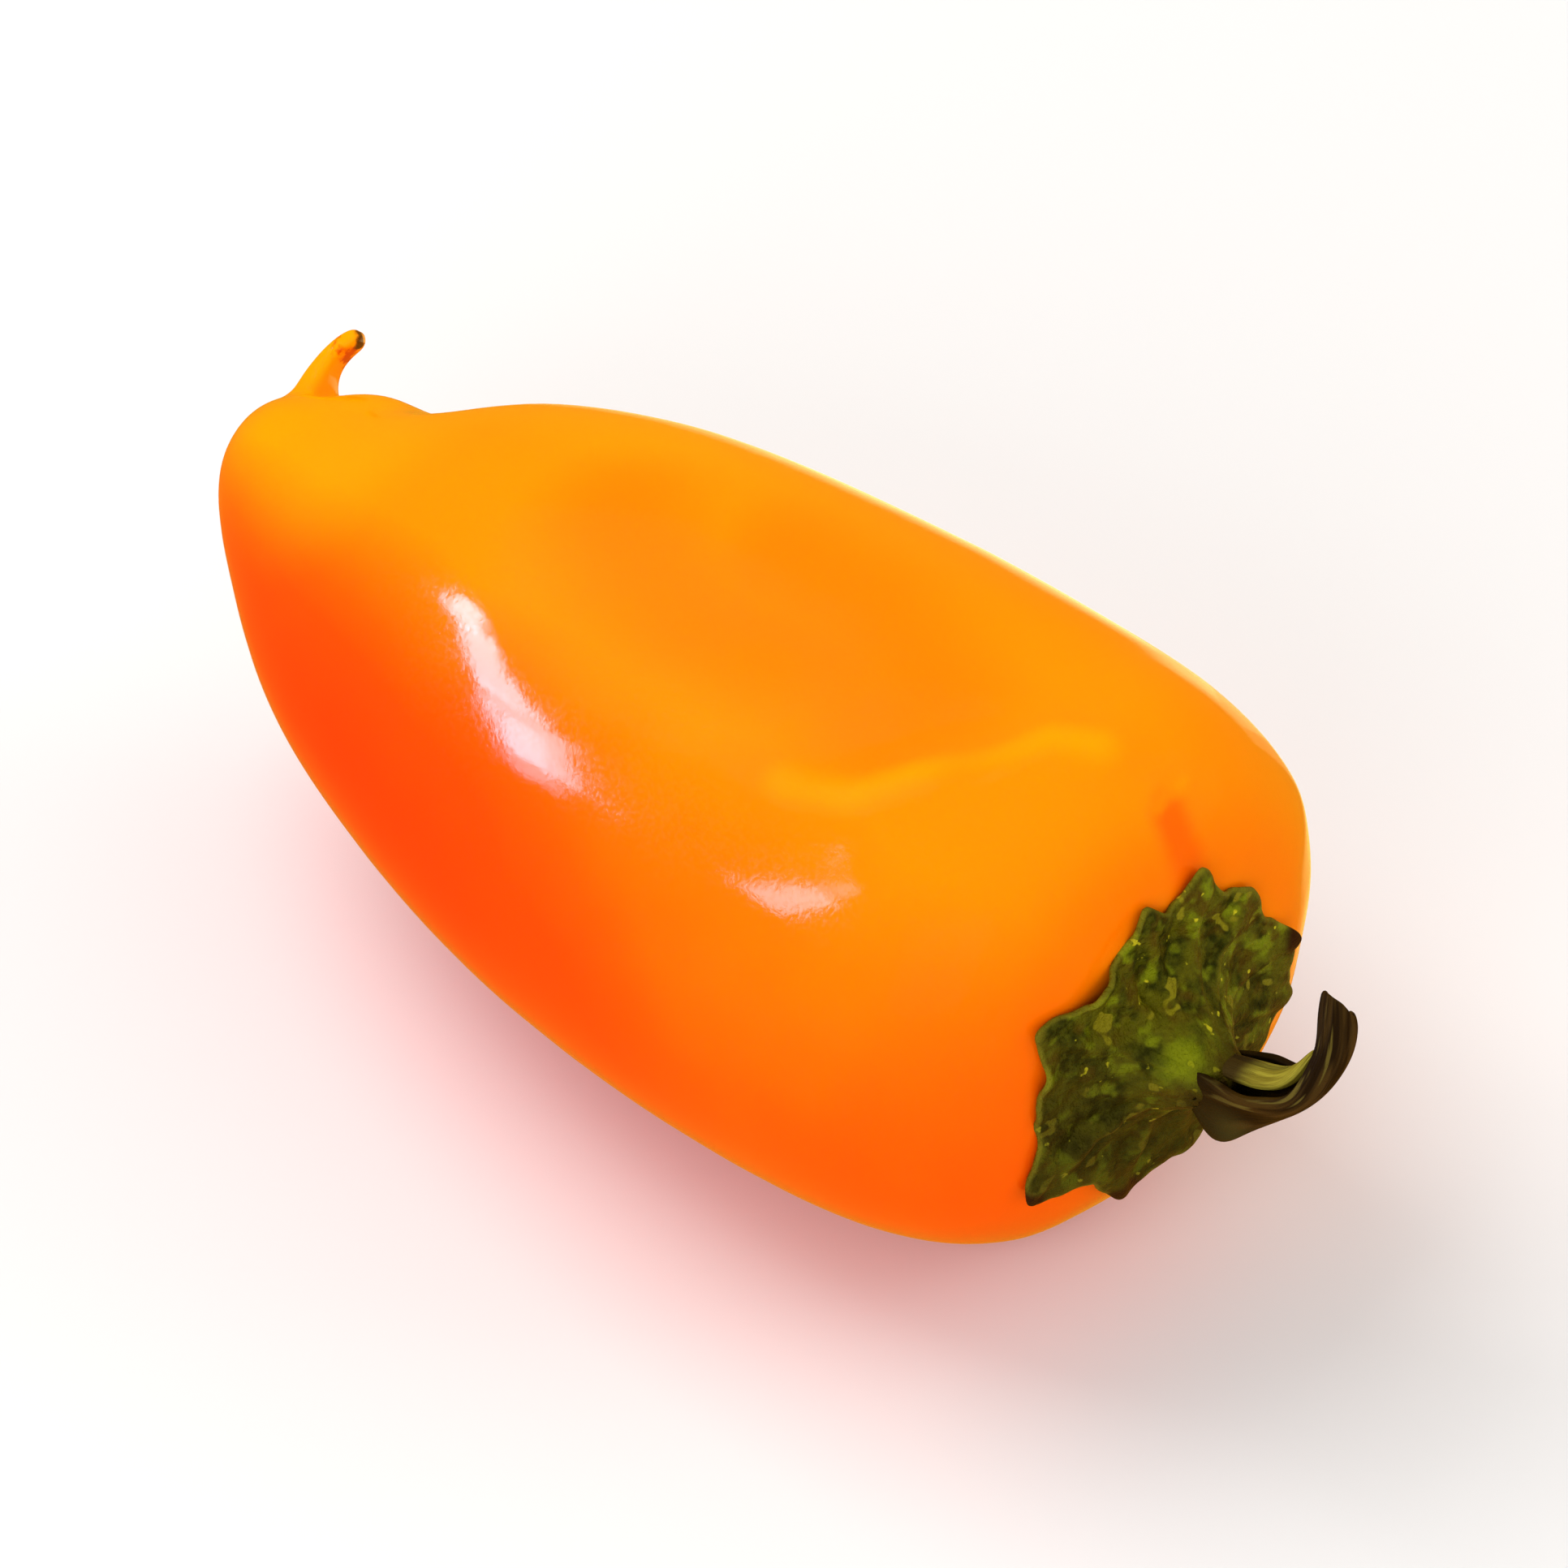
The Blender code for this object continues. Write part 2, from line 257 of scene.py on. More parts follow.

# The finishes. The skin's ripening, with painted shade in it, is steepest round the tip; how steep is given
# as two pairs of x and steepness.
RIPE_AND_SHADED_ANGLE = 217
COLOUR_SOFTNESS = 4.0
RIPENING_AND_SHADE = ((16.0, 0.85), (-27.0, 2.5))
RIPE_DRIFT = 0.12
# The colours from the lit top to the shaded underside, amber to red: partly real ripening and partly painted
# shade.
RIPE_AND_SHADED_COLOURS = (
    (-2.2, (1.0, 0.35, 0.0)),
    (-1.1, (1.0, 0.26, 0.0)),
    (0.0, (1.0, 0.235, 0.0)),
    (0.3, (1.0, 0.17, 0.0)),
    (0.5, (1.0, 0.13, 0.0)),
    (0.75, (1.0, 0.083, 0.0)),
    (1.0, (1.0, 0.052, 0.0)),
    (1.8, (1.0, 0.018, 0.0)),
)
# Tints by what a piece keeps on its points: its name, the value from which it shows, the value at which it
# is full, how strong it is there, and its colour.
# On the skin all of these are painted light and shade: lighter on the crest, the crease and the top of the
# tip, and darker in the hollow, on the shoulder and round the calyx.
PAINTED_SKIN_LIGHT_AND_SHADE = (
    ("hollow", 0.0, 0.9, 0.65, (1.0, 0.16, 0.0)),
    ("shade_by_calyx", 0.0, 1.0, 0.45, (1.0, 0.10, 0.0)),
    ("crest", 0.0, 1.0, 0.55, (1.0, 0.36, 0.0)),
    ("shoulder_shade", 0.0, 0.8, 0.75, (1.0, 0.10, 0.0)),
    ("crease", 0.0, 1.0, 0.5, (1.0, 0.32, 0.0)),
    ("lit_tip", 0.0, 0.8, 0.55, (1.0, 0.35, 0.0)),
)
CALYX_TINTS = (
    ("by_stem", 0.1, 0.7, 0.9, (0.022, 0.012, 0.001)),
    ("share", 0.955, 1.0, 0.4, (0.24, 0.21, 0.01)),
    ("dry_tip", 0.15, 0.55, 1.0, (0.028, 0.008, 0.001)),
)
BARK_TINTS = (("length", 7.0, 3.5, 0.85, (0.016, 0.009, 0.001)),)
PITH_TINTS = (("length", 4.8, 3.0, 1.0, (0.045, 0.028, 0.004)),)
# The same on the beak and on the calyx's bright patch, where a noise frays them.
BEAK_NOISE = 1100
BEAK_TINTS = (
    ("beak_scar", 0.24, 0.36, 1.0, (0.60, 0.075, 0.0)),
    ("beak_tip", 0.24, 0.38, 1.0, (0.10, 0.025, 0.002)),
)
BRIGHT_PATCH_NOISE = 500
BRIGHT_PATCH_TINTS = (("bright_patch", 0.12, 0.45, 0.8, (0.19, 0.22, 0.001)),)
# Tints in patches: how far the pattern is moved on, its size, the strength from which a patch shows, the
# strength at which it is full, how strong its tint is there, and its colour.
CALYX_COLOUR = (0.018, 0.023, 0.0003)
CALYX_PATCHES = (
    # olive, brown, fresh green, fine mottling, flakes of painted light on the facets, and pale flecks that
    # are partly dried specks and partly painted sparkle
    (0, 2.6, 0.40, 0.60, 1.0, (0.082, 0.076, 0.0005)),
    (7, 2.2, 0.50, 0.68, 0.75, (0.080, 0.046, 0.0006)),
    (19, 1.8, 0.52, 0.70, 1.0, (0.17, 0.20, 0.001)),
    (3, 0.6, 0.35, 0.75, 0.35, (0.15, 0.15, 0.002)),
    (47, 2.6, 0.63, 0.66, 1.0, (0.21, 0.18, 0.004)),
    (31, 1.0, 0.68, 0.73, 1.0, (0.50, 0.44, 0.01)),
)
BARK_COLOUR = (0.010, 0.005, 0.0006)
BARK_PATCHES = (
    (0, 0.75, 0.42, 0.62, 1.0, (0.050, 0.026, 0.002)),
    (9, 0.55, 0.60, 0.70, 1.0, (0.105, 0.078, 0.010)),
)
PITH_COLOUR = (0.20, 0.16, 0.012)
PITH_PATCHES = ((0, 0.4, 0.35, 0.65, 1.0, (0.36, 0.31, 0.03)),)
# The calyx is darker towards SHADE_DIRECTION: how far along it this starts and is full, how strong it is
# there, and its colour.
SHADE_DIRECTION = (0, -0.4, -0.9)
CALYX_SHADE = (-26.0, -12.0, 0.65, (0.022, 0.017, 0.0003))
# The bark is greener at its keel: where this starts and is full, across the strip and along it, how strong
# it is there, and its colour.
KEEL_ACROSS = (1.6, 0.3)
KEEL_LENGTH = (7.0, 4.5)
KEEL_TINT = (0.7, (0.085, 0.075, 0.008))
# How rough the skin is, and how much rougher in its grain.
SKIN_ROUGHNESS = 0.06
GRAIN_ROUGHNESS = 0.06

# The view, the floor and the lights.
AIM = (-4.2, 3.3, 17.4)
VIEW_AZIMUTH = 44.4
VIEW_ELEVATION = 43.0
VIEW_DISTANCE = 3000
VIEW_WIDTH = 101
# The glow of the sky, and the glow and the colour that the skin mirrors in its place.
SKY = 0.65
MIRRORED_SKY = 0.7
MIRRORED_COLOUR = (1.0, 0.42, 0.03)
FLOOR_SIZE = 4000
FLOOR_COLOUR = (0.78, 0.78, 0.77, 1.0)
LIGHT_DISTANCE = 600
# Softboxes: name, direction, size, power.
SOFTBOXES = (
    ("key", (-0.55, -0.1, 0.8), 450, 2.4),
    ("fill", (0.35, -0.8, 0.4), 400, 1.7),
    ("back", (0.6, 0.7, 0.4), 400, 1.0),
)
# Strips that draw the glints on the skin: name, direction of each end, width, glow.
STRIP_DISTANCE = 500
STRIP_COLOUR = (0.75, 0.75, 1.0)
STRIPS = (
    ("streak_top", (-0.809, -0.343, 0.477), (-0.823, -0.396, 0.408), 60, 16.4),
    ("streak_middle", (-0.774, -0.428, 0.466), (-0.698, -0.630, 0.341), 69, 14.5),
    ("streak_end", (-0.675, -0.642, 0.364), (-0.627, -0.750, 0.211), 72, 10.7),
    ("streak_low", (-0.629, -0.735, 0.253), (-0.699, -0.689, 0.193), 100, 6.0),
    ("crescent", (-0.375, -0.874, 0.309), (-0.285, -0.814, 0.507), 41, 8.3),
    ("crescent_end", (-0.298, -0.813, 0.501), (-0.249, -0.751, 0.611), 28, 3.6),
)
# Strips at the floor, just past the outline: name, the two ends of the near side, depth, glow, colour.
RIM_GLOWS = (
    ("rim_back", (-22, 63), (40, 20), 46, 1.0, (1.0, 0.88, 0.4)),
    ("rim_side", (30, 40), (38, -12), 10, 0.7, (1.0, 0.8, 0.25)),
)
RIM_SHARES = (1.0, 0.8, 0.6, 0.4)


def outward(angle):
    turn = math.radians(angle)
    return Vector((0.0, math.cos(turn), math.sin(turn)))


def start_editing(name):
    """Names the new primitive, puts its place into its mesh and selects all of it in edit mode."""
    piece = bpy.context.object
    piece.name = name
    piece.data.name = name
    bpy.ops.object.transform_apply(location=True, rotation=True, scale=True)
    bpy.ops.object.mode_set(mode="EDIT")
    bpy.ops.mesh.select_mode(type="VERT")
    bpy.ops.mesh.select_all(action="SELECT")
    return piece


def stop_editing():
    bpy.ops.object.mode_set(mode="OBJECT")


def add_ring(name, sides, radius, middle):
    """A ring of points round X, in edit mode."""
    bpy.ops.object.select_all(action="DESELECT")
    bpy.ops.mesh.primitive_circle_add(
        vertices=sides, radius=radius * MM, location=middle * MM, rotation=(0, math.radians(90), 0)
    )
    return start_editing(name)


def extrude(step):
    bpy.ops.mesh.extrude_region_move(TRANSFORM_OT_translate={"value": step * MM})


def scale(share, middle):
    bpy.ops.transform.resize(value=(share, share, share), center_override=middle * MM)


def roll(turn, middle):
    """Turns what is selected about X, by the right-hand rule. Without a window the operator itself
    turns the other way."""
    bpy.ops.transform.rotate(
        value=-math.radians(turn), orient_axis="X", center_override=middle * MM
    )


def tip(turn, towards, middle):
    """Tips what is selected, so that its side at the angle towards goes to +X."""
    roll(-towards, middle)
    bpy.ops.transform.rotate(
        value=math.radians(turn), orient_axis="Z", center_override=middle * MM
    )
    roll(towards, middle)


def apply_modifier(piece, kind, **values):
    modifier = piece.modifiers.new(kind.lower(), kind)
    for name, value in values.items():
        setattr(modifier, name, value)
    bpy.context.view_layer.objects.active = piece
    bpy.ops.object.modifier_apply(modifier=modifier.name)


def subdivide(piece, levels):
    apply_modifier(piece, "SUBSURF", levels=levels, render_levels=levels)


def choose(piece, is_chosen):
    """Selects the points of a piece, in edit mode, by their place in millimetres."""
    shape = bmesh.from_edit_mesh(piece.data)
    for point in shape.verts:
        point.select = is_chosen(point.co / MM)
    shape.select_flush_mode()
    bmesh.update_edit_mesh(piece.data)


def nearest_points(piece, places):
    """Selects the points of a piece, in edit mode, that lie nearest to the places."""
    shape = bmesh.from_edit_mesh(piece.data)
    tree = KDTree(len(shape.verts))
    for number, point in enumerate(shape.verts):
        tree.insert(point.co, number)
    tree.balance()
    shape.verts.ensure_lookup_table()
    chosen = {tree.find(place * MM)[1] for place in places}
    for number, point in enumerate(shape.verts):
        point.select = number in chosen
    shape.select_flush(False)
    bmesh.update_edit_mesh(piece.data)


def push(piece, places, step, reach, falloff="SMOOTH"):
    """Moves the points nearest the places, and those round them less and less out to reach."""
    nearest_points(piece, places)
    bpy.ops.transform.translate(
        value=step * MM,
        use_proportional_edit=True,
        proportional_edit_falloff=falloff,
        proportional_size=reach * MM,
    )


def on_skin(x, angle):
    """A point at x on the side of the fruit's rings."""
    for near, far in zip(STATIONS[2:], STATIONS[3:]):
        if far[0] <= x <= near[0]:
            share = (near[0] - x) / (near[0] - far[0])
            y, height, radius = (a + (b - a) * share for a, b in zip(near[1:4], far[1:4]))
            return Vector((x, y, height + AXIS_HEIGHT)) + outward(angle) * radius


def line_on_skin(marks):
    """Places on the skin along a line of marks, about a millimetre apart."""
    places = [on_skin(*marks[0])]
    for (x, angle), (next_x, next_angle) in zip(marks, marks[1:]):
        parts = math.ceil((on_skin(next_x, next_angle) - on_skin(x, angle)).length)
        for number in range(1, parts + 1):
            share = number / parts
            places.append(on_skin(x + (next_x - x) * share, angle + (next_angle - angle) * share))
    return places


def press(piece, marks, depth, reach):
    """Presses the skin in along a line of marks."""
    inward = -sum((outward(angle) for x, angle in marks), Vector()).normalized()
    push(piece, line_on_skin(marks), inward * depth, reach)


def ripple(piece, kind, size, height):
    """Moves the points of a piece in and out by a procedural pattern."""
    pattern = bpy.data.textures.new(piece.name + "_ripple", kind)
    pattern.noise_scale = size * MM
    apply_modifier(piece, "DISPLACE", texture=pattern, strength=height * MM, texture_coords="LOCAL")


def mark(piece, name, places, reach):
    """Keeps on each point how near it is to the places: 1 on them, 0 from reach on."""
    tree = KDTree(len(places))
    for number, place in enumerate(places):
        tree.insert(place * MM, number)
    tree.balance()
    near = [max(0.0, 1.0 - tree.find(point.co)[2] / (reach * MM)) for point in piece.data.vertices]
    piece.data.attributes.new(name, "FLOAT", "POINT").data.foreach_set("value", near)


def label(piece, name, value):
    """Writes a value on the selected points, in edit mode. What is drawn out of them takes it over."""
    shape = bmesh.from_edit_mesh(piece.data)
    layer = shape.verts.layers.float.get(name) or shape.verts.layers.float.new(name)
    for point in shape.verts:
        if point.select:
            point[layer] = value(point.co / MM) if callable(value) else value
    bmesh.update_edit_mesh(piece.data)


def draw_fruit():
    """Rings drawn out one from the next along the fruit, and closed at both ends."""
    x, y, height, radius, lean = STATIONS[0]
    middle = Vector((x, y, height + AXIS_HEIGHT))
    fruit = add_ring("pepper_fruit", RING_SIDES, radius, middle)
    tip(lean, LEAN_ANGLE, middle)
    for x, y, height, new_radius, new_lean in STATIONS[1:]:
        new_middle = Vector((x, y, height + AXIS_HEIGHT))
        extrude(new_middle - middle)
        scale(new_radius / radius, new_middle)
        tip(new_lean - lean, LEAN_ANGLE, new_middle)
        middle, radius, lean = new_middle, new_radius, new_lean
    close_ends()
    return fruit


def draw_beak(fruit):
    """Draws the faces at the beak's root out along its line."""
    axis_point = Vector((0, 0, AXIS_HEIGHT))
    out = outward(BEAK_ANGLE)
    root = Vector((BEAK_ROOT_X, 0, 0)) + axis_point + out * BEAK_ROOT_OUT
    bpy.ops.mesh.select_mode(type="FACE")
    shape = bmesh.from_edit_mesh(fruit.data)
    for face in shape.faces:
        face.select = (face.calc_center_median() - root * MM).length < BEAK_ROOT_RADIUS * MM
    shape.select_flush_mode()
    bmesh.update_edit_mesh(fruit.data)
    middle, radius = middle_of_chosen(fruit)
    for x, distance, new_radius, turn in BEAK:
        target = Vector((x, 0, 0)) + axis_point + out * distance
        extrude(target - middle)
        scale(new_radius / radius, target)
        tip(-turn, BEAK_ANGLE + 180, target)
        middle, radius = target, new_radius
    bpy.ops.mesh.select_mode(type="VERT")


def middle_of_chosen(piece):
    """The middle of the selected points, and how far the farthest of them is from it."""
    chosen = [point.co / MM for point in bmesh.from_edit_mesh(piece.data).verts if point.select]
    middle = sum(chosen, Vector()) / len(chosen)
    return middle, max((point - middle).length for point in chosen)


def strip_frames(rows):
    """The middle of each row of a bent strip, its bend from X, and the directions of its inner side and
    of its edge."""
    up = outward(STEM_ANGLE)
    middles = [Vector(STEM_ROOT) + Vector((x, 0, 0)) + up * distance for x, distance, half, twist in rows]
    frames = []
    for number, (middle, (x, distance, half, twist)) in enumerate(zip(middles, rows)):
        ahead = (middles[min(number + 1, len(rows) - 1)] - middles[max(number - 1, 0)]).normalized()
        bend = math.degrees(math.atan2(ahead.dot(up), ahead.x))
        inner = ahead.cross(outward(STEM_ANGLE - 90)) * math.cos(math.radians(twist))
        inner += outward(STEM_ANGLE + 90) * math.sin(math.radians(twist))
        frames.append((middle, bend, inner, ahead.cross(inner)))
    return frames


def draw_strip(name, sides, flatness, rows, opening=None):
    """Rings drawn out along a bent line, each square to it and twisted about it. With an opening, each
    ring leaves out what stands further to its inner side than that share of its half width."""
    frames = strip_frames(rows)
    middle, bend = frames[0][:2]
    half, twist = rows[0][2:]
    piece = add_ring(name, sides, half, middle)
    if opening is not None:
        cut_ring(piece, middle.y + half * opening)
    label(piece, "across", lambda place: math.atan2(place.z - middle.z, middle.y - place.y) * half)
    label(piece, "length", 0.0)
    bpy.ops.transform.resize(value=(1, flatness, 1), center_override=middle * MM)
    roll(STEM_ANGLE + twist, middle)
    tip(-bend, STEM_ANGLE, middle)
    length = 0.0
    for (new_middle, new_bend, *rest), (x, distance, new_half, new_twist) in zip(frames[1:], rows[1:]):
        extrude(new_middle - middle)
        scale(new_half / half, new_middle)
        tip(bend, STEM_ANGLE, new_middle)
        roll(new_twist - twist, new_middle)
        tip(-new_bend, STEM_ANGLE, new_middle)
        length += (new_middle - middle).length
        label(piece, "length", length)
        middle, bend, half, twist = new_middle, new_bend, new_half, new_twist
    return piece, frames


def cut_ring(piece, limit):
    """Takes the points beyond a y off a ring, and selects the rest."""
    choose(piece, lambda place: place.y > limit)
    bpy.ops.mesh.delete(type="VERT")
    bpy.ops.mesh.select_all(action="SELECT")


def close_ends():
    """Fills the open ends of a drawn shape and turns its faces outwards."""
    bpy.ops.mesh.select_all(action="SELECT")
    bpy.ops.mesh.fill_holes(sides=0)
    bpy.ops.mesh.select_all(action="SELECT")
    bpy.ops.mesh.normals_make_consistent(inside=False)


def make_bark():
    """The gutter of bark, with its keel drawn out below to a point, its edges torn and its tip slanted."""
    bark, frames = draw_strip("stem_bark", BARK_SIDES, BARK_FLATNESS, BARK, BARK_OPENING)
    for row, depth in BARK_KEEL:
        middle, bend, inner, side = frames[row]
        push(bark, [middle - inner * BARK[row][2] * BARK_FLATNESS], -inner * depth, KEEL_REACH)
    row, depth, reach = KEEL_POINT
    middle, bend, inner, side = frames[row]
    lowest = middle - inner * (BARK[row][2] * BARK_FLATNESS + KEEL_POINT_DROP)
    push(bark, [lowest], -inner * depth, reach, "LINEAR")
    for row, lift in BACK_RIM:
        middle, bend, inner, side = frames[row]
        half = BARK[row][2]
        rim = middle + inner * half * BARK_FLATNESS * BARK_OPENING - side * half
        push(bark, [rim], inner * lift, BACK_RIM_REACH)
    tears = random.Random(TEAR_SEED)
    for (middle, bend, inner, side), (x, distance, half, twist) in zip(frames[2:], BARK[2:]):
        for way in (-1, 1):
            edge = middle + inner * half * BARK_FLATNESS * BARK_OPENING + side * way * half
            push(bark, [edge], inner * tears.uniform(-1, 1) * TORN_EDGE, TORN_EDGE_REACH)
    middle, bend, inner, side = frames[-1]
    half = BARK[-1][2]
    ahead = inner.cross(side)
    corners = (middle + (inner * BARK_OPENING + side) * half, middle - (inner + side) * half)
    for corner, (pull, reach) in zip(corners, TORN_TIP):
        push(bark, [corner], ahead * pull, reach, "LINEAR")
    stop_editing()
    subdivide(bark, 2)
    apply_modifier(bark, "SOLIDIFY", thickness=BARK_THICKNESS * MM, offset=0.0)
    subdivide(bark, 1)
    return bark


def make_pith():
    pith = draw_strip("stem_pith", PITH_SIDES, PITH_FLATNESS, PITH)[0]
    close_ends()
    stop_editing()
    subdivide(pith, 3)
    return pith


def on_calyx(piece, angle, distance):
    """The place on the calyx at an angle and a distance from its middle."""
    x, y, z = CALYX_MIDDLE
    aim = Vector((0, y, z)) + outward(angle) * distance
    shape = bmesh.from_edit_mesh(piece.data)
    nearest = min(shape.verts, key=lambda point: math.hypot(point.co.y - aim.y * MM, point.co.z - aim.z * MM))
    return nearest.co / MM


def draw_calyx():
    """The toothed edge, drawn from a ring, and rings drawn in from it to the middle."""
    middle = Vector(CALYX_MIDDLE)
    calyx = add_ring("pepper_calyx", CALYX_SPOKES, CALYX_EDGE, middle)
    for angle, reach, half, curl, dry in TEETH:
        out = outward(angle)
        width = CALYX_EDGE * math.radians(half)
        push(calyx, [middle + out * CALYX_EDGE], out * (reach - CALYX_EDGE), width, "LINEAR")
    rags = random.Random(RAG_SEED)
    for number in range(RAGS):
        out = outward(number * 360 / RAGS + rags.uniform(-RAG_SHIFT, RAG_SHIFT))
        step = out * rags.uniform(-1, 1) * RAG_LENGTH
        push(calyx, [middle + out * RAG_CIRCLE], step, RAG_REACH, "LINEAR")
    bpy.ops.mesh.select_all(action="SELECT")
    label(calyx, "share", 1.0)
    for ring in range(CALYX_RINGS, 2, -1):
        extrude(Vector())
        scale((ring - 1) / ring, middle)
        label(calyx, "share", (ring - 1) / CALYX_RINGS)
    bpy.ops.mesh.fill_grid(span=CALYX_SPOKES // 4)
    return calyx


def lay_on(piece, below, gap):
    """Drops a sheet along X onto the piece below it."""
    apply_modifier(
        piece,
        "SHRINKWRAP",
        target=below,
        wrap_method="PROJECT",
        use_project_x=True,
        use_positive_direction=False,
        use_negative_direction=True,
        offset=gap * MM,
    )


def make_calyx(fruit):
    """The sheet of the calyx, laid on the shoulders, raised into its boss, ribs and crinkles, and given
    its thickness."""
    calyx = draw_calyx()
    stop_editing()
    lay_on(calyx, fruit, CALYX_GAP)
    bpy.ops.object.mode_set(mode="EDIT")
    ahead = Vector((1, 0, 0))
    push(calyx, [on_calyx(calyx, 0, 0)], ahead * BOSS_HEIGHT, BOSS_REACH)
    push(calyx, [on_calyx(calyx, 0, 0)], ahead * COLLAR_HEIGHT, COLLAR_REACH)
    for angle, reach, half, curl, dry in TEETH:
        rib = [on_calyx(calyx, angle, distance) for distance in (*RIB_DISTANCES, reach - RIB_END)]
        push(calyx, rib, ahead * RIB_HEIGHT, RIB_REACH, "SHARP")
        push(calyx, [on_calyx(calyx, angle, reach)], ahead * curl, TOOTH_TIP_REACH)
    crinkles = random.Random(CRINKLE_SEED)
    for number in range(CRINKLES):
        angle = crinkles.uniform(0, 360)
        distance = CRINKLE_CIRCLE * math.sqrt(crinkles.uniform(CRINKLE_MIDDLE, 1))
        step = ahead * crinkles.uniform(*CRINKLE_LIFTS) * CRINKLE_HEIGHT
        push(calyx, [on_calyx(calyx, angle, distance)], step, crinkles.uniform(*CRINKLE_REACHES), "SHARP")
    bpy.ops.mesh.select_all(action="SELECT")
    bpy.ops.mesh.normals_make_consistent(inside=False)
    if bmesh.from_edit_mesh(calyx.data).faces[0].normal.x < 0:
        bpy.ops.mesh.flip_normals()
    stop_editing()
    mark_teeth(calyx)
    mark(calyx, "by_stem", [Vector(BY_STEM_PLACE)], BY_STEM_REACH)
    mark(calyx, "bright_patch", [Vector(BRIGHT_PATCH_PLACE)], BRIGHT_PATCH_REACH)
    subdivide(calyx, 1)
    for kind, size, height in CALYX_RIPPLES:
        ripple(calyx, kind, size, height)
    apply_modifier(calyx, "SOLIDIFY", thickness=CALYX_THICKNESS * MM, offset=1.0)
    subdivide(calyx, 1)
    return calyx


def mark_teeth(calyx):
    """Marks where the teeth are dry, each out to its own reach."""
    bpy.ops.object.mode_set(mode="EDIT")
    tips = [(on_calyx(calyx, angle, reach), dry) for angle, reach, half, curl, dry in TEETH]
    stop_editing()
    dryness = [
        max(max(0.0, dry - (point.co / MM - place).length / DRY_REACH) for place, dry in tips)
        for point in calyx.data.vertices
    ]
    calyx.data.attributes.new("dry_tip", "FLOAT", "POINT").data.foreach_set("value", dryness)


def make_fruit():
    """The fruit with its beak, its fold and its furrow, flat where it rests."""
    fruit = draw_fruit()
    draw_beak(fruit)
    stop_editing()
    subdivide(fruit, 2)
    bpy.ops.object.mode_set(mode="EDIT")
    for marks, depth, reach in PRESSES:
        press(fruit, marks, depth, reach)
    flatten_underside(fruit)
    stop_editing()
    subdivide(fruit, 1)
    ripple(fruit, "CLOUDS", WAVE_SIZE, WAVE_HEIGHT)
    # Lines of painted light and shade on the skin, and the painted shade round the calyx.
    for name, marks, reach in SKIN_LIGHT_AND_SHADE_MARKS:
        mark(fruit, name, line_on_skin(marks), reach)
    mark(fruit, "shade_by_calyx", calyx_line(SHADE_BY_CALYX_DISTANCE), SHADE_BY_CALYX_REACH)
    for name, x, distance, reach in BEAK_SPOTS:
        mark(fruit, name, [Vector((x, 0, AXIS_HEIGHT)) + outward(BEAK_ANGLE) * distance], reach)
    return fruit


def calyx_line(distance):
    """Places round the calyx, at a distance from its middle, on the shoulders."""
    x, y, z = CALYX_MIDDLE
    return [Vector((SHOULDER_TOP, y, z)) + outward(angle) * distance for angle in range(0, 360, 6)]


def flatten_underside(fruit):
    choose(fruit, lambda place: place.z < 0)
    bpy.ops.transform.resize(value=(1, 1, 0), center_override=(0, 0, 0))


def new_material(name, **finish):
    """A material with a Principled BSDF of that finish, and the Object coordinates for its patterns."""
    material = bpy.data.materials.new(name)
    material.use_nodes = True
    tree = material.node_tree
    shader = feed(tree, tree.nodes["Principled BSDF"], **finish)
    place = tree.nodes.new("ShaderNodeTexCoord").outputs["Object"]
    return material, tree, shader, place


def feed(tree, node, **sockets):
    """Links or sets the sockets of a node, named with _ for a space."""
    for name, value in sockets.items():
        socket = node.inputs[name.replace("_", " ")]
        if isinstance(value, bpy.types.NodeSocket):
            tree.links.new(value, socket)
        else:
            socket.default_value = value
    return node


def noise(tree, place, scale, detail=3.0):
    node = tree.nodes.new("ShaderNodeTexNoise")
    feed(tree, node, Vector=place, Scale=scale, Detail=detail)
    return node.outputs["Fac"]


def new_group(name, inputs, output):
    """A node group that takes named inputs and gives one value."""
    tree = bpy.data.node_groups.new(name, "ShaderNodeTree")
    for socket in inputs:
        kind = "NodeSocketVector" if socket == "Place" else "NodeSocketFloat"
        tree.interface.new_socket(socket, in_out="INPUT", socket_type=kind)
    tree.interface.new_socket(output, in_out="OUTPUT", socket_type="NodeSocketFloat")
    entry = tree.nodes.new("NodeGroupInput")
    leave = tree.nodes.new("NodeGroupOutput")
    return tree, entry.outputs, leave.inputs[output]


def patches_group():
    """Soft-edged patches of the size in millimetres: 0 outside them, 1 in them."""
    tree, given, mask = new_group("patches", ("Place", "Size", "Low", "High"), "Mask")
    scale = maths(tree, "DIVIDE", 1 / MM, given["Size"])
    strength = noise(tree, given["Place"], scale, 2.0)
    tree.links.new(ramp(tree, strength, given["Low"], given["High"]), mask)
    return tree


def relief_group():
    """A fine unevenness of the size in millimetres, with some of a quarter of that size on it."""
    tree, given, height = new_group("relief", ("Place", "Size", "Fine"), "Height")
    scale = maths(tree, "DIVIDE", 1 / MM, given["Size"])
    coarse = noise(tree, given["Place"], scale, 1.0)
    fine = noise(tree, given["Place"], maths(tree, "MULTIPLY", scale, 4.0), 1.0)
    tree.links.new(maths(tree, "ADD", coarse, maths(tree, "MULTIPLY", fine, given["Fine"])), height)
    return tree


def placed(tree, group, **values):
    """A group in a material, with its own values."""
    node = tree.nodes.new("ShaderNodeGroup")
    node.node_tree = group
    feed(tree, node, **values)
    return node.outputs[0]


def marked(tree, name):
    """What a piece keeps on its points under that name."""
    node = tree.nodes.new("ShaderNodeAttribute")
    node.attribute_name = name
    return node.outputs["Fac"]


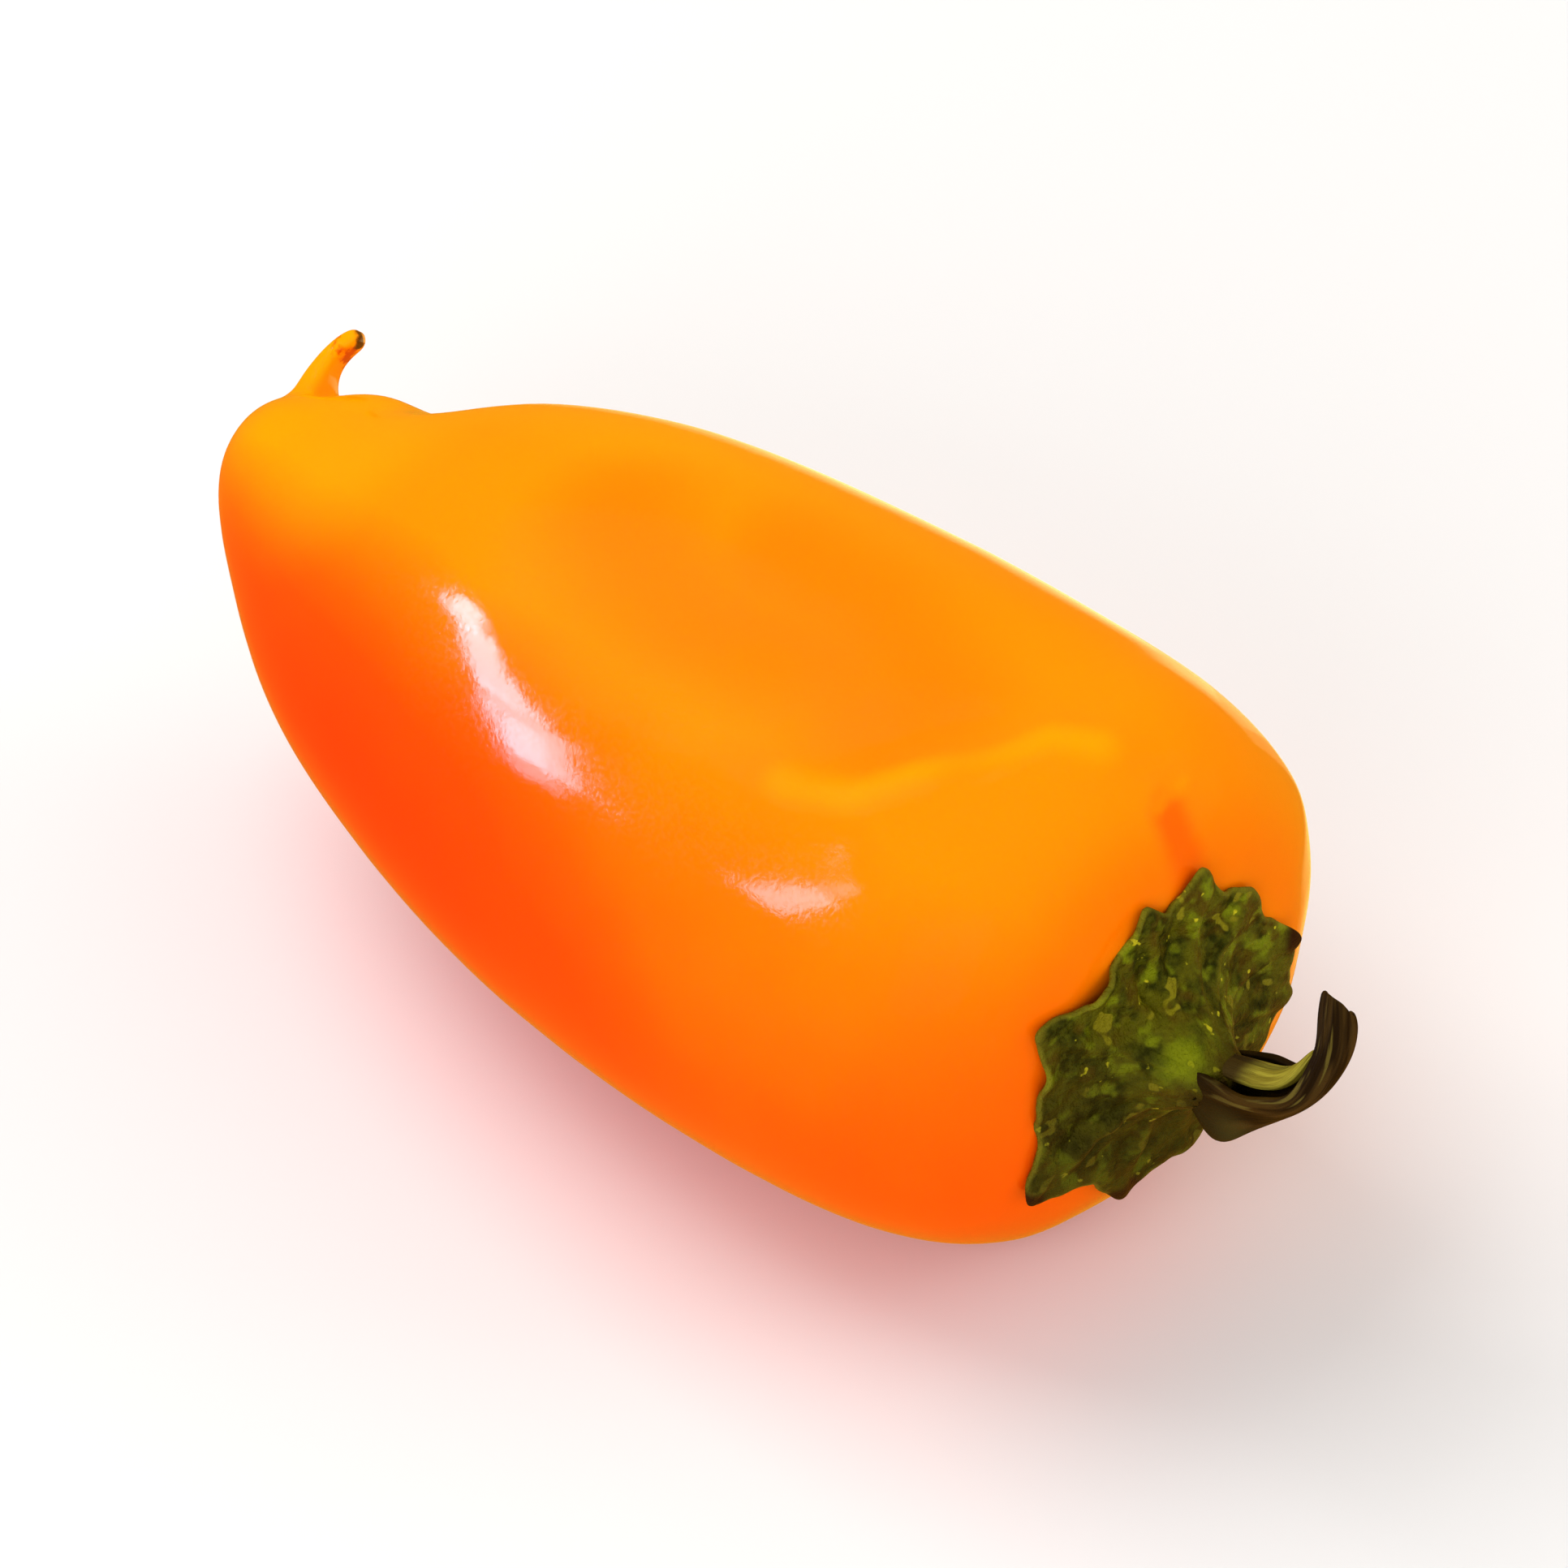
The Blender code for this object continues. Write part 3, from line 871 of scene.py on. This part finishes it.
def along(tree, place, direction):
    """How far a place lies along a direction, in millimetres."""
    return vector_maths(tree, "DOT_PRODUCT", place, direction / MM)


def maths(tree, operation, *values):
    node = tree.nodes.new("ShaderNodeMath")
    node.operation = operation
    for socket, value in zip(node.inputs, values):
        if isinstance(value, bpy.types.NodeSocket):
            tree.links.new(value, socket)
        else:
            socket.default_value = value
    return node.outputs["Value"]


def ramp(tree, value, low, high, start=0.0, end=1.0, smooth=True):
    """The start where the value is low, the end where it is high, and between them in between."""
    node = tree.nodes.new("ShaderNodeMapRange")
    node.interpolation_type = "SMOOTHSTEP" if smooth else "LINEAR"
    feed(tree, node, Value=value, From_Min=low, From_Max=high, To_Min=start, To_Max=end)
    return node.outputs["Result"]


def vector_maths(tree, operation, one, other=None):
    node = tree.nodes.new("ShaderNodeVectorMath")
    node.operation = operation
    tree.links.new(one, node.inputs[0])
    if other is not None:
        node.inputs[1].default_value = other
    return node.outputs["Value" if operation in ("LENGTH", "DOT_PRODUCT") else "Vector"]


def shifted(tree, place, millimetres):
    """The same coordinates moved on, so that one pattern doesn't follow another."""
    return vector_maths(tree, "ADD", place, Vector((1, 1, 1)) * millimetres * MM)


def colours(tree, value, *stops, low=0.0, high=1.0):
    """A colour ramp of (position, (red, green, blue)) stops, whose positions run from low to high."""
    node = tree.nodes.new("ShaderNodeValToRGB")
    tree.links.new(value, node.inputs["Fac"])
    elements = node.color_ramp.elements
    while len(elements) < len(stops):
        elements.new(0.5)
    for element, (position, colour) in zip(elements, stops):
        element.position = (position - low) / (high - low)
        element.color = (*colour, 1.0)
    return node.outputs["Color"]


def mix(tree, share, one, other):
    """One colour over another by a share. A Mix node's colour sockets are those numbered 6, 7 and 2."""
    node = tree.nodes.new("ShaderNodeMix")
    node.data_type = "RGBA"
    for number, value in ((0, share), (6, one), (7, other)):
        if isinstance(value, bpy.types.NodeSocket):
            tree.links.new(value, node.inputs[number])
        elif number:
            node.inputs[number].default_value = (*value, 1.0)
        else:
            node.inputs[number].default_value = value
    return node.outputs[2]


def tinted(tree, colour, share, strength, tint):
    """A colour with a tint laid over it by a share, which counts as much as the strength says."""
    return mix(tree, maths(tree, "MULTIPLY", share, strength), colour, tint)


def tint_marks(tree, colour, tints, frayed_by=None):
    """A colour with the tints of marks laid over it, frayed where a noise is given."""
    for name, start, full, strength, tint in tints:
        value = marked(tree, name)
        if frayed_by:
            value = maths(tree, "MULTIPLY", value, frayed_by)
        colour = tinted(tree, colour, ramp(tree, value, start, full), strength, tint)
    return colour


def tint_patches(tree, groups, place, colour, patches):
    """A colour with tints laid over it in patches."""
    for shift, size, start, full, strength, tint in patches:
        moved = shifted(tree, place, shift)
        patch = placed(tree, groups["patches"], Place=moved, Size=size, Low=start, High=full)
        colour = tinted(tree, colour, patch, strength, tint)
    return colour


def bump(tree, shader, groups, *layers):
    """Lays bumps over each other. A layer is its coordinates, its size in millimetres, its share of finer
    relief, and how many millimetres deep it is."""
    normal = None
    for place, size, fine, depth in layers:
        height = placed(tree, groups["relief"], Place=place, Size=size, Fine=fine)
        node = tree.nodes.new("ShaderNodeBump")
        feed(tree, node, Height=height, Distance=depth * MM)
        if normal:
            tree.links.new(normal, node.inputs["Normal"])
        normal = node.outputs["Normal"]
    tree.links.new(normal, shader.inputs["Normal"])


def ripeness_and_shade(tree, groups, place):
    """How far the skin has turned red, partly by real ripening and partly as painted shade: less than 0 on
    its lit side and more towards the angle of its shaded side, most of all at the tip."""
    centred = vector_maths(tree, "SUBTRACT", place, Vector((0, 0, AXIS_HEIGHT)) * MM)
    around = vector_maths(tree, "MULTIPLY", centred, Vector((0, 1, 1)))
    distance = maths(tree, "DIVIDE", vector_maths(tree, "LENGTH", around), MM)
    away_from_light = along(tree, around, outward(RIPE_AND_SHADED_ANGLE))
    ripe_and_shaded = maths(tree, "DIVIDE", away_from_light, maths(tree, "ADD", distance, COLOUR_SOFTNESS))
    (far, far_steepness), (near, near_steepness) = RIPENING_AND_SHADE
    steepness = ramp(tree, along(tree, place, Vector((1, 0, 0))), near, far, near_steepness, far_steepness)
    ripe_and_shaded = maths(tree, "MULTIPLY", ripe_and_shaded, steepness)
    drift = placed(tree, groups["patches"], Place=place, Size=16.0, Low=0.3, High=0.7)
    return maths(tree, "ADD", ripe_and_shaded, maths(tree, "MULTIPLY", drift, RIPE_DRIFT))


def skin_material(groups):
    """Glossy wax over orange, which turns from amber on top to red below, most of all at the tip, partly by
    real ripening and partly as painted shade; the marks lay painted light and shade over it.
    """
    material, tree, shader, place = new_material("waxy_skin", Subsurface_Weight=0.2, Subsurface_Scale=0.002)
    shader.inputs["Subsurface Radius"].default_value = (1.0, 0.25, 0.02)
    low, high = RIPE_AND_SHADED_COLOURS[0][0], RIPE_AND_SHADED_COLOURS[-1][0]
    ripe_and_shaded = ramp(tree, ripeness_and_shade(tree, groups, place), low, high, smooth=False)
    colour = colours(tree, ripe_and_shaded, *RIPE_AND_SHADED_COLOURS, low=low, high=high)
    # Painted light and shade from the marks.
    colour = tint_marks(tree, colour, PAINTED_SKIN_LIGHT_AND_SHADE)
    colour = tint_marks(tree, colour, BEAK_TINTS, noise(tree, place, BEAK_NOISE))
    grain = placed(tree, groups["patches"], Place=place, Size=0.3, Low=0.40, High=0.62)
    roughness = maths(tree, "ADD", maths(tree, "MULTIPLY", grain, GRAIN_ROUGHNESS), SKIN_ROUGHNESS)
    feed(tree, shader, Base_Color=colour, Roughness=roughness)
    bump(tree, shader, groups, (place, 2.5, 0.2, 0.012), (place, 0.3, 0.3, 0.004))
    return material


def calyx_material(groups):
    """Leathery dark green, mottled with olive and fresh green, with bright green flecks by the stem, flakes
    of painted light on its facets, pale flecks that are partly dried specks and partly painted sparkle, pale
    edges and brown tips.
    """
    material, tree, shader, place = new_material("green_leather", Roughness=0.45, Specular_IOR_Level=0.1)
    colour = tint_patches(tree, groups, place, CALYX_COLOUR, CALYX_PATCHES)
    start, full, strength, tint = CALYX_SHADE
    shaded = ramp(tree, along(tree, place, Vector(SHADE_DIRECTION)), start, full)
    colour = tinted(tree, colour, shaded, strength, tint)
    colour = tint_marks(tree, colour, BRIGHT_PATCH_TINTS, noise(tree, place, BRIGHT_PATCH_NOISE))
    colour = tint_marks(tree, colour, CALYX_TINTS)
    feed(tree, shader, Base_Color=colour)
    bump(tree, shader, groups, (place, 0.9, 0.5, 0.35), (place, 0.25, 0.5, 0.06))
    return material


def grain_place(tree, stretch):
    """Coordinates that follow a strip: drawn out along it, and across it in millimetres."""
    node = tree.nodes.new("ShaderNodeCombineXYZ")
    feed(
        tree,
        node,
        X=maths(tree, "MULTIPLY", marked(tree, "length"), MM / stretch),
        Y=maths(tree, "MULTIPLY", marked(tree, "across"), MM),
    )
    return node.outputs["Vector"]


def bark_material(groups):
    """Dried bark, streaked lengthwise in black, brown and grey olive, and greener at the keel."""
    material, tree, shader, place = new_material("dried_bark", Roughness=0.6, Specular_IOR_Level=0.12)
    grain = grain_place(tree, 7.0)
    colour = tint_patches(tree, groups, grain, BARK_COLOUR, BARK_PATCHES)
    keel = ramp(tree, maths(tree, "ABSOLUTE", marked(tree, "across")), *KEEL_ACROSS)
    low = ramp(tree, marked(tree, "length"), *KEEL_LENGTH)
    colour = tinted(tree, colour, maths(tree, "MULTIPLY", keel, low), *KEEL_TINT)
    colour = tint_marks(tree, colour, BARK_TINTS)
    feed(tree, shader, Base_Color=colour)
    bump(tree, shader, groups, (grain, 0.5, 0.4, 0.25), (place, 0.2, 0.5, 0.04))
    return material


def pith_material(groups):
    """Pale, stringy pith, browned at its root end."""
    material, tree, shader = new_material("pale_pith", Roughness=0.6, Specular_IOR_Level=0.15)[:3]
    grain = grain_place(tree, 8.0)
    colour = tint_patches(tree, groups, grain, PITH_COLOUR, PITH_PATCHES)
    colour = tint_marks(tree, colour, PITH_TINTS)
    feed(tree, shader, Base_Color=colour)
    bump(tree, shader, groups, (grain, 0.35, 0.5, 0.12))
    return material


def add_light(name, direction, size, power):
    """A softbox that faces the pepper, left out of what the skin mirrors."""
    ahead = Vector(direction).normalized()
    light = area_light(name, (size, size), power, (1.0, 1.0, 1.0))
    light.location = (Vector(AIM) + ahead * LIGHT_DISTANCE) * MM
    light.rotation_euler = ahead.to_track_quat("Z", "Y").to_euler()
    light.visible_glossy = False


def add_rim_glow(name, start, end, depth, glow, colour):
    """Strips of light at the floor, just past the outline, that only glossy surfaces show. From the camera
    they draw a thin pale line along the outline. Their near side runs between two places on the floor: how
    far beside the pepper, how far behind it. They lie over each other, each at its own height, so that the
    line fades at its inner side and at its ends."""
    turn = math.radians(VIEW_AZIMUTH)
    beside = Vector((math.cos(turn), math.sin(turn), 0))
    behind = Vector((-math.sin(turn), math.cos(turn), 0))
    line = Vector(end) - Vector(start)
    for share in RIM_SHARES:
        length, width = line.length * share, depth * share
        away = Vector((-line.y, line.x)).normalized() * width / 2
        x, y = (Vector(start) + Vector(end)) / 2 + away
        light = glowing_strip(name, length, width, glow / len(RIM_SHARES), colour)
        light.location = (Vector((AIM[0], AIM[1], share)) + beside * x + behind * y) * MM
        light.rotation_euler = (math.pi, 0, turn + math.atan2(line.y, line.x))
        light.visible_diffuse = False
        light.visible_camera = False


def area_light(name, size, power, colour):
    lamp = bpy.data.lights.new(name, "AREA")
    lamp.shape = "RECTANGLE"
    lamp.size, lamp.size_y = (side * MM for side in size)
    lamp.energy = power
    lamp.color = colour
    light = bpy.data.objects.new(name, lamp)
    bpy.context.scene.collection.objects.link(light)
    return light


def glowing_strip(name, length, width, glow, colour):
    """A strip of light whose surface glows that much, whatever its size."""
    return area_light(name, (length, width), glow * math.pi * length * width * MM * MM, colour)


def add_strip(name, start, end, width, glow):
    """A strip of light from one direction to another, seen only as a glint on what is glossy."""
    start, end = (Vector(direction).normalized() * STRIP_DISTANCE for direction in (start, end))
    light = glowing_strip(name, (end - start).length, width, glow, STRIP_COLOUR)
    middle = (start + end) / 2
    back = middle.normalized()
    side = (end - start).normalized()
    side = (side - back * side.dot(back)).normalized()
    light.matrix_world = Matrix((side, back.cross(side), back)).transposed().to_4x4()
    light.location = (Vector(AIM) + middle) * MM
    light.visible_diffuse = False


def set_camera():
    camera = bpy.data.objects.new("camera", bpy.data.cameras.new("camera"))
    bpy.context.scene.collection.objects.link(camera)
    turn, rise = math.radians(VIEW_AZIMUTH), math.radians(VIEW_ELEVATION)
    back = Vector((math.sin(turn) * math.cos(rise), -math.cos(turn) * math.cos(rise), math.sin(rise)))
    camera.location = (Vector(AIM) + back * VIEW_DISTANCE) * MM
    camera.rotation_euler = (math.pi / 2 - rise, 0, turn)
    camera.data.lens = camera.data.sensor_width * VIEW_DISTANCE / VIEW_WIDTH
    bpy.context.scene.camera = camera


def set_world():
    world = bpy.data.worlds.new("studio")
    world.use_nodes = True
    background = world.node_tree.nodes["Background"]
    mirrored = world.node_tree.nodes.new("ShaderNodeLightPath").outputs["Is Glossy Ray"]
    colour = mix(world.node_tree, mirrored, (1.0, 1.0, 1.0), MIRRORED_COLOUR)
    world.node_tree.links.new(colour, background.inputs["Color"])
    strength = ramp(world.node_tree, mirrored, 0.0, 1.0, SKY, MIRRORED_SKY)
    world.node_tree.links.new(strength, background.inputs["Strength"])
    bpy.context.scene.world = world


def make_floor():
    bpy.ops.object.select_all(action="DESELECT")
    bpy.ops.mesh.primitive_plane_add(size=FLOOR_SIZE * MM)
    floor = bpy.context.object
    floor.name = "floor"
    material = new_material("pale_floor", Roughness=0.6, Base_Color=FLOOR_COLOUR)[0]
    floor.data.materials.append(material)
    floor.visible_glossy = False


def dress(piece, node, material):
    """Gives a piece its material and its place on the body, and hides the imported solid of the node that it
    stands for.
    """
    piece.data.materials.append(material)
    piece.data.shade_smooth()
    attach(piece, "root")
    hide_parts(node)


groups = {"patches": patches_group(), "relief": relief_group()}
fruit = make_fruit()
dress(fruit, "fruit", skin_material(groups))
calyx = make_calyx(fruit)
dress(calyx, "calyx", calyx_material(groups))
dress(make_bark(), "stem", bark_material(groups))
dress(make_pith(), "stem", pith_material(groups))

make_floor()
set_world()
set_camera()
for box in SOFTBOXES:
    add_light(*box)
for strip in STRIPS:
    add_strip(*strip)
for glow in RIM_GLOWS:
    add_rim_glow(*glow)
bpy.context.scene.view_settings.view_transform = "Standard"
